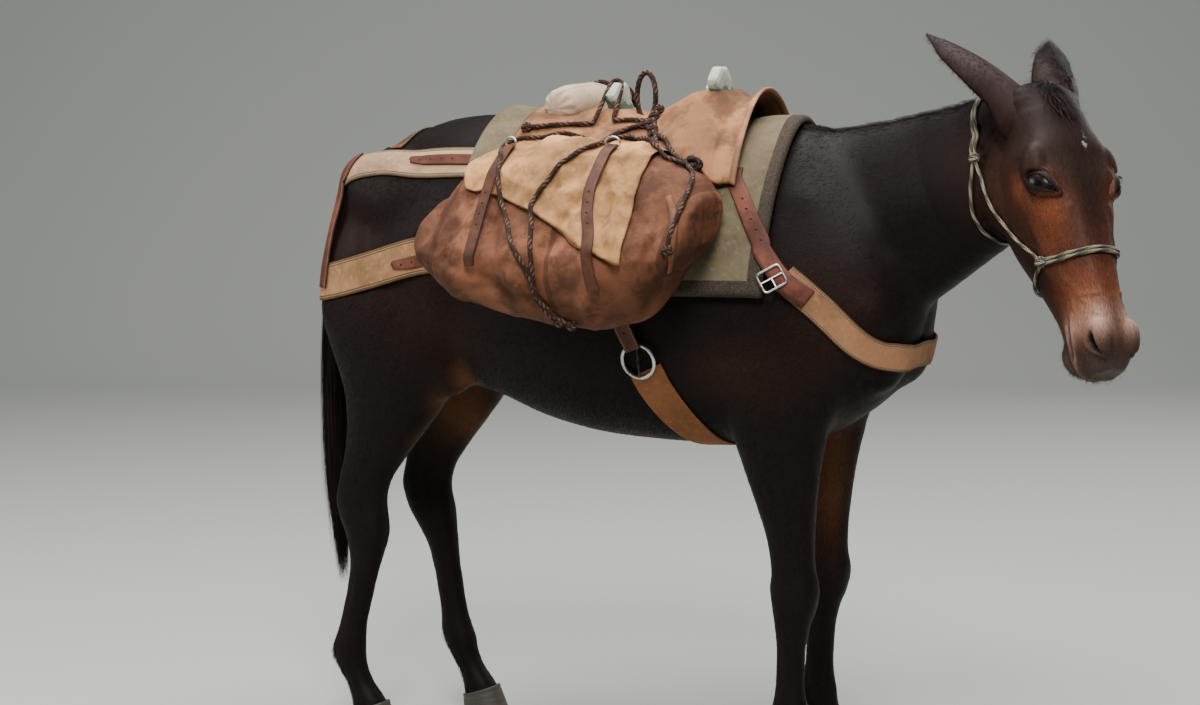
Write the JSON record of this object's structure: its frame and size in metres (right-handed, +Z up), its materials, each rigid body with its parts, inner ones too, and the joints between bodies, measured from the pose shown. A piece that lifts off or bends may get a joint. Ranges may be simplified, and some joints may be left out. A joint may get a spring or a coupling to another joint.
{
  "type": "pack mule",
  "caption": "Standing dark bay pack mule with a sawbuck saddle, felt pad, canvas panniers, breeching, breast collar, cinch and rope halter.",
  "frame": {"origin": "on the floor, under the middle of the whole box", "axes": "+X towards the head end, +Y to the animal's left, +Z up"},
  "size_m": [2.0964, 1.0051, 1.6608],
  "materials": {
    "coat": "short black-brown hair",
    "ear_hair": "short dark brown hair, paler inside",
    "long_hair": "long black hair",
    "horn": "dark horn, dusty",
    "eye": "wet and dark",
    "felt": "thick grey felt",
    "canvas_cover": "stiff khaki canvas",
    "canvas_bag": "stained brown canvas",
    "canvas_flap": "light tan canvas",
    "canvas_roll": "cream canvas",
    "painted_wood": "dark green paint, worn",
    "strap_leather": "dark brown, oiled",
    "band_leather": "brown, worn",
    "webbing": "tan mohair webbing",
    "steel": "worn steel",
    "lash_rope": "laid rope, off-white",
    "halter_rope": "braided grey-tan rope"
  },
  "bodies": {
    "root": {"torso": "coat", "neck": "coat", "head": "coat", "fore_leg_right": "coat", "fore_leg_left": "coat", "hind_leg_right": "coat", "hind_leg_left": "coat", "ear_right": "ear_hair", "ear_left": "ear_hair", "tail": "long_hair", "fore_hoof_right": "horn", "fore_hoof_left": "horn", "hind_hoof_right": "horn", "hind_hoof_left": "horn", "eye_right": "eye", "eye_left": "eye", "saddle_pad": "felt", "saddle_cover": "canvas_cover", "pannier_right": "canvas_bag", "pannier_left": "canvas_bag", "pannier_flap_right": "canvas_flap", "pannier_flap_left": "canvas_flap", "canvas_roll": "canvas_roll", "crossbuck_front": "painted_wood", "crossbuck_back": "painted_wood", "pannier_strap_back_right": "strap_leather", "pannier_strap_back_left": "strap_leather", "pannier_strap_front_right": "strap_leather", "pannier_strap_front_left": "strap_leather", "hanger_right": "strap_leather", "hanger_left": "strap_leather", "latigo_right": "strap_leather", "latigo_left": "strap_leather", "croup_strap": "strap_leather", "breeching": "band_leather", "breast_collar": "band_leather", "hip_band_right": "band_leather", "hip_band_left": "band_leather", "breast_billet_right": "band_leather", "breast_billet_left": "band_leather", "cinch": "webbing", "cinch_ring_right": "steel", "cinch_ring_left": "steel", "breast_buckle_right": "steel", "breast_buckle_left": "steel", "lash_rope_right": "lash_rope", "lash_rope_left": "lash_rope", "rope_loop": "lash_rope", "halter": "halter_rope"}
  },
  "joints": []
}
